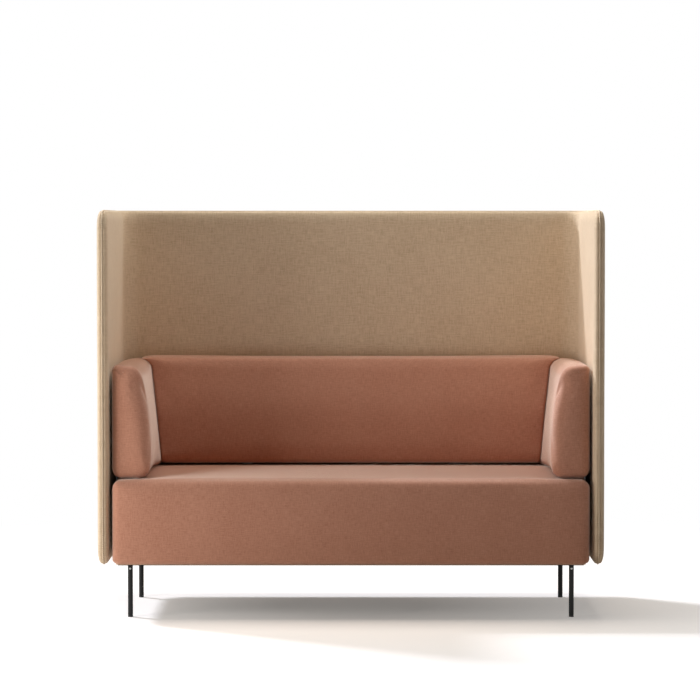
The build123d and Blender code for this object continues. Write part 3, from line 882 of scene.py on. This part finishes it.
linen = woven(
    "beige_linen_weave",
    pitch=0.0017,
    stops=[(0.34, tone(186, 161, 130)), (0.5, tone(214, 191, 161)), (0.66, tone(231, 212, 185))],
    slub=9.0,
    cloud=0.2,
    relief=0.0008,
    sheen=0.5,
    sheen_tint=tone(240, 228, 208),
)
screen = cloth_piece(
    "screen_cover",
    np.concatenate(panel_points),
    np.concatenate(panel_faces),
    np.concatenate(panel_lay),
    linen,
)
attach(screen, "sofa")
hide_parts("screen_inner_cover", "screen_inner_foam", "screen_outer_cover", "screen_outer_foam")


# Screen piping: a cord in a bias strip of the same linen, with its threads running round it on a slant.
# It is sewn into the rim seam all the way round. Its colours are a little lighter than the panels' linen, a
# painted highlight along the rim.

piping_radius = 0.0028
piping_out = 0.0006
piping_sides = 10

tree, first, last = new_tree("piping", ("Cord radius", "NodeSocketFloat"), ("Sides", "NodeSocketInt"))
path = node(tree, "GeometryNodeMeshToCurve")
length = node(tree, "GeometryNodeSplineParameter")
on_points = {"data_type": "FLOAT", "domain": "POINT"}
keep_length = node(tree, "GeometryNodeStoreNamedAttribute", {"Name": "along"}, **on_points)
cord_round = node(tree, "GeometryNodeCurvePrimitiveCircle")
way_round = node(tree, "GeometryNodeSplineParameter")
keep_round = node(tree, "GeometryNodeStoreNamedAttribute", {"Name": "round"}, **on_points)
sleeve = node(tree, "GeometryNodeCurveToMesh")
join(
    tree,
    (first, "Geometry", path, "Mesh"),
    (path, "Curve", keep_length, "Geometry"),
    (length, "Length", keep_length, "Value"),
    (first, "Cord radius", cord_round, "Radius"),
    (first, "Sides", cord_round, "Resolution"),
    (cord_round, "Curve", keep_round, "Geometry"),
    (way_round, "Factor", keep_round, "Value"),
    (keep_length, "Geometry", sleeve, "Curve"),
    (keep_round, "Geometry", sleeve, "Profile Curve"),
)

piping_finish, shading, shader = new_finish("beige_piping", 0.9)
threads_along = 900.0
threads_round = 9.0
along = node(shading, "ShaderNodeAttribute", attribute_name="along").outputs["Fac"]
around = node(shading, "ShaderNodeAttribute", attribute_name="round").outputs["Fac"]
slant = mixed(shading, (along, threads_along), (around, threads_round))
threads = spread(shading, sums(shading, "SINE", slant, 0.0), 0.2, 0.8)
fuzz = mottle(shading, laid_out(shading, "Object"), 0.003, 4.0)
piping_tone = mixed(shading, (threads, 0.4), (fuzz, 0.6))
# The cord's linen colours are painted a little lighter than the panels', as a highlight along the rim.
piping_linen_and_highlight_shades = [(0.3, tone(188, 165, 136)), (0.5, tone(220, 199, 170)), (0.72, tone(236, 220, 194))]
shades(shading, piping_tone, piping_linen_and_highlight_shades, shader)
raise_grain(shading, shader, piping_tone, 0.0004)
end_tree(tree, sleeve.outputs["Mesh"], last, piping_finish)

rim_path = on_wall(rim_ring(-piping_out), np.zeros(ring_size))
piping_path = bpy.data.meshes.new("piping_path")
piping_path.from_pydata(rim_path.tolist(), closed_edges(ring_size), [])
piping = grown("screen_welt", piping_path, tree, {"Cord radius": piping_radius, "Sides": piping_sides})
smooth(piping.data)
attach(piping, "sofa")
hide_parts("screen_piping")


# Back cushion: a foam wedge on a plywood board, in the same salmon wool, leaning against the screen.
# Its ends slant with the arm cushions, and its front face and top are free to swell.

back_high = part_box("back_cover")[1]
back_rear = back_high.y - 0.0005
back_bottom = seat_high.z + 0.0006
back_top = back_high.z - 0.002
back_front_low = 0.164
back_front_high = 0.2335
back_half_low = 0.6300
back_half_high = 0.6703
back_end_radius = 0.012
back_top_radius = 0.055
back_rounds = (0.030, 0.006, 0.022, 0.016)
back_top_bow = 0.004
back_front_bow = 0.010
cushion_swell = 0.006
cushion_hem = 0.012
rear_seam = 0.020
end_seam = 0.008
arm_shoulder = 0.038
shoulder_low = back_high.z - 0.0475


def back_half(height):
    """Half the cushion's length at a height, between its slanted ends."""
    slant = back_half_high - back_half_low
    return back_half_low + slant * (height - back_bottom) / (back_top - back_bottom)


across_back = round((back_rear - back_front_low) / cloth_step / 2) * 2
up_back = round((back_top - back_bottom) / cloth_step)
back_counts = (across_back - arc_steps, up_back - arc_steps) * 2
from_end = end_distances((back_end_radius, back_top_radius), 2 * back_half_high, cloth_step)
back_sections = []
for distance, side in end_to_end(from_end):
    inset = rounding(distance, back_end_radius)
    top_inset = rounding(distance, back_top_radius) * 0.2
    back_corners = [
        (back_front_low + inset, back_bottom + 0.4 * inset),
        (back_rear, back_bottom + 0.4 * inset),
        (back_rear, back_top - top_inset),
        (back_front_high + inset, back_top - top_inset),
    ]
    back_radii = [max(least_radius, radius - 0.8 * inset) for radius in back_rounds]
    fullness = 1 - inset / back_end_radius
    back_bows = (0.0, 0.0, back_top_bow * fullness, back_front_bow * fullness)
    outline = rounded_outline(back_corners, back_radii, back_counts, back_bows)
    over = np.clip((outline[:, 1] - shoulder_low) / arm_shoulder, 0, 1)
    reach = back_half(outline[:, 1]) + arm_shoulder * (1 - np.sqrt(1 - over ** 2)) * 0.9
    x = side * (back_half_high - distance) / back_half_high * reach
    back_sections.append(np.concatenate((x[:, None], outline), axis=1))
back = cut_and_sewn("back_cushion", np.array(back_sections), across_back, up_back, [1, 2], wool)
at = points_of(back)
back_held = (at[:, 1] > back_rear - rear_seam) | (at[:, 2] < back_bottom + cushion_hem)
back_held |= back_half(at[:, 2]) - np.abs(at[:, 0]) < end_seam
swell(back, back_held, cushion_swell)
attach(back, "sofa")
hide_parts("back_cover", "back_foam")
board_finish = planed_wood("poplar_board", (0.15, 1.0, 1.0), tone(226, 206, 172), tone(196, 168, 130))
dress(board_finish, "back_board")


# Arm cushions: two upright foam wedges, wide at the seat and narrow at the top, in salmon wool.
# Each stands on the seat against the side wall, on a plywood board that straps tie to the frame.

arm_low, arm_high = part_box("right_arm_cover")
arm_outer = arm_high.x + 0.002
arm_inner_low = 0.6305
arm_inner_high = 0.671
arm_bottom = arm_low.z + 0.0004
arm_top = arm_high.z - 0.0035
arm_front = arm_low.y + 0.003
arm_rear = arm_high.y - 0.0005
arm_length = arm_rear - arm_front
arm_front_radius = 0.028
arm_front_ease = 0.04
arm_rear_radius = 0.014
arm_top_fall = 0.006
arm_fall_run = 0.30
arm_top_bow = 0.002
arm_inner_bow = 0.007
arm_step = 0.0085
free_end = 0.24
free_run = 0.34
foot_height = 0.12
beside_back = 0.13

across_arm = round((arm_outer - arm_inner_low) / arm_step / 2) * 2
up_arm = round((arm_top - arm_bottom) / arm_step)
arm_counts = (across_arm - arc_steps, up_arm - arc_steps) * 2
arm_stations = []
for d in end_distances((arm_front_radius, arm_front_ease), arm_length, arm_step):
    arm_stations.append((arm_front + d, rounding(d, arm_front_radius), 0.0))
for d in end_distances((arm_rear_radius, rear_corner_radius), arm_length, arm_step)[-2::-1]:
    arm_stations.append((arm_rear - d, rounding(d, arm_rear_radius), rounding(d, rear_corner_radius)))
for side, name in ((-1, "left"), (1, "right")):
    arm_sections = []
    for y, inset, outer_inset in arm_stations:
        free = min(1.0, max(0.0, (free_end - y) / free_run))
        top = arm_top - arm_top_fall * min(1.0, max(0.0, y / arm_fall_run)) - 0.8 * inset
        pull = max(inset, outer_inset)
        arm_corners = [
            (arm_inner_low + inset, arm_bottom + 0.8 * inset),
            (arm_outer - pull, arm_bottom + 0.8 * inset),
            (arm_outer - pull, top),
            (arm_inner_high + inset, top),
        ]
        arm_rounds = (0.016 + 0.022 * free, 0.030, 0.018, arm_shoulder)
        arm_radii = [max(least_radius, radius - 0.4 * inset) for radius in arm_rounds]
        arm_bows = (0.0, 0.0, arm_top_bow, arm_inner_bow * free)
        outline = rounded_outline(arm_corners, arm_radii, arm_counts, arm_bows)
        lie = np.clip(1 - (outline[:, 1] - arm_bottom) / foot_height, 0, 1)
        seat_share = (y - seat_front) / (seat_rear - seat_front)
        drop = seat_crown * (1 - (1 - math.cos(2 * math.pi * seat_share)) / 2)
        z = outline[:, 1] - drop * lie
        arm_sections.append(np.stack((side * outline[:, 0], np.full(len(z), y), z), axis=1))
    arm = cut_and_sewn(name + "_arm_cushion", np.array(arm_sections), across_arm, up_arm, [0, 2], wool)
    at = points_of(arm)
    arm_held = (at[:, 2] < arm_bottom + cushion_hem) | (np.abs(at[:, 0]) > arm_outer - cushion_hem)
    arm_held |= at[:, 1] > beside_back
    swell(arm, arm_held, cushion_swell)
    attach(arm, "sofa")
    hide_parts(name + "_arm_cover", name + "_arm_foam")
dress(board_finish, "left_arm_board", "right_arm_board")


# Straps: flat zinc plated steel strips in the gap behind the cushions.
# They are screwed to the boards above and to the rails below.

strap_zinc = bright_zinc("rolled_strap_zinc", (1, 1, 0.1))
dress(strap_zinc, "back_straps", "left_arm_straps", "right_arm_straps")
dress(screw_zinc, "strap_screws")


# Studio: a white floor that runs out into white, with a low sun lamp behind to the left.
# The sun throws the long soft shadow, a soft lamp hangs overhead and a small one stands at the left front.
# The camera has a long lens and stands at the height of the sofa's top edge.

def seen_directly(tree):
    """1 for rays that show a thing as it is, 0 for rays that only carry its light on."""
    ray = node(tree, "ShaderNodeLightPath")
    mirrored = sums(tree, "MAXIMUM", ray.outputs["Is Glossy Ray"], ray.outputs["Is Transmission Ray"])
    return sums(tree, "MAXIMUM", ray.outputs["Is Camera Ray"], mirrored)


def two_looks(tree, share, lit, seen, ending):
    """Mixes how a surface lights the room with how it is seen."""
    both = node(tree, "ShaderNodeMixShader")
    tree.links.new(share, both.inputs["Fac"])
    tree.links.new(lit.outputs[0], both.inputs[1])
    tree.links.new(seen.outputs[0], both.inputs[2])
    tree.links.new(both.outputs["Shader"], node(tree, ending).inputs["Surface"])


def soft_lamp(name, energy, size, colour, place, turn):
    """A square lamp that is not seen itself."""
    light = bpy.data.lights.new(name, "AREA")
    light.energy = energy
    light.size = size
    light.color = colour
    lamp = in_scene(bpy.data.objects.new(name, light))
    lamp.location = place
    lamp.rotation_euler = [math.radians(angle) for angle in turn]
    lamp.visible_camera = False


floor_mesh = bpy.data.meshes.new("floor")
floor_mesh.from_pydata([(-60, -40, 0), (60, -40, 0), (60, 120, 0), (-60, 120, 0)], [], [(0, 1, 2, 3)])
floor_finish = bpy.data.materials.new("white_floor")
floor_finish.use_nodes = True
tree = floor_finish.node_tree
tree.nodes.clear()
paint = node(tree, "ShaderNodeBsdfDiffuse")
glow = node(tree, "ShaderNodeEmission")
grain = mottle(tree, laid_out(tree, "Object"), 0.5, 2.0)
floor_shades = [(0.3, (1.28, 1.19, 1.10, 1)), (0.7, (1.30, 1.21, 1.12, 1))]
bounced = node(tree, "ShaderNodeMixRGB", {"Color1": (0.80, 0.74, 0.68, 1)})
shades(tree, grain, floor_shades, bounced, "Color2")
tree.links.new(bounced.outputs["Color"], paint.inputs["Color"])
near = node(tree, "ShaderNodeTexGradient", gradient_type="SPHERICAL")
tree.links.new(laid_out(tree, "Object", (0.2, 0.2, 1.0)), near.inputs["Vector"])
# Near the sofa the floor keeps a small glow for the camera: painted light that lifts the sofa's cast
# shadow.
far_glow = 1.6
near_glow = 0.1
shadow_lifting_glow = 0.17
fade = spread(tree, near.outputs["Fac"], far_glow, near_glow)
fade = sums(tree, "MINIMUM", sums(tree, "MAXIMUM", fade, shadow_lifting_glow), 1.0)
looked_at = seen_directly(tree)
tree.links.new(looked_at, bounced.inputs["Fac"])
# The glow is warm near the sofa, a painted warm tint in its shadow, and white further out.
glow_shades = [(0.2, (1.0, 0.95, 0.9, 1)), (0.6, (1.0, 1.0, 1.0, 1))]
shades(tree, fade, glow_shades, glow, "Color")
two_looks(tree, sums(tree, "MULTIPLY", fade, looked_at), paint, glow, "ShaderNodeOutputMaterial")
floor_mesh.materials.append(floor_finish)
floor = in_scene(bpy.data.objects.new("floor", floor_mesh))

warm_white = (1.0, 0.97, 0.93)
world = bpy.data.worlds.new("studio")
world.use_nodes = True
scene.world = world
tree = world.node_tree
tree.nodes.clear()
side_start = 0.55
side_light = 0.6
rear_light = 0.2
room = node(tree, "ShaderNodeBackground", {"Color": (*warm_white, 1)})
white = node(tree, "ShaderNodeBackground", {"Color": (1.0, 1.0, 1.0, 1)})
way = node(tree, "ShaderNodeSeparateXYZ")
join(tree, (node(tree, "ShaderNodeTexCoord"), "Generated", way, "Vector"))
from_sides = sums(tree, "SUBTRACT", sums(tree, "ABSOLUTE", way.outputs["X"], 0.0), side_start)
from_sides = sums(tree, "MAXIMUM", from_sides, 0.0)
from_behind = sums(tree, "MAXIMUM", way.outputs["Y"], 0.0)
strength = mixed(tree, (from_sides, side_light), (from_behind, rear_light))
tree.links.new(strength, room.inputs["Strength"])
two_looks(tree, seen_directly(tree), room, white, "ShaderNodeOutputWorld")

sun_tilt = -52
sun_turn = 49.5
key = bpy.data.lights.new("key", "SUN")
key.energy = 3.05
key.angle = math.radians(8)
key.color = (0.92, 0.99, 1.14)
key_lamp = in_scene(bpy.data.objects.new("key", key))
key_lamp.rotation_euler = (math.radians(sun_tilt), 0, math.radians(sun_turn))

soft_lamp("overhead", 63, 2.2, warm_white, (0, 0.35, 3.2), (-5, 0, 0))
soft_lamp("side", 17, 0.9, (1.0, 1.0, 1.0), (-1.9, -1.25, 0.75), (82, 0, -56))

camera_data = bpy.data.cameras.new("camera")
camera_data.lens = 155.36
camera_data.sensor_width = 36.0
camera_data.clip_end = 400.0
camera = in_scene(bpy.data.objects.new("camera", camera_data))
camera.location = (-0.0028, -9.87, 1.252)
look_down = 2.4
camera.rotation_euler = (math.radians(90 - look_down), 0, 0)
scene.camera = camera
scene.view_settings.view_transform = "Standard"
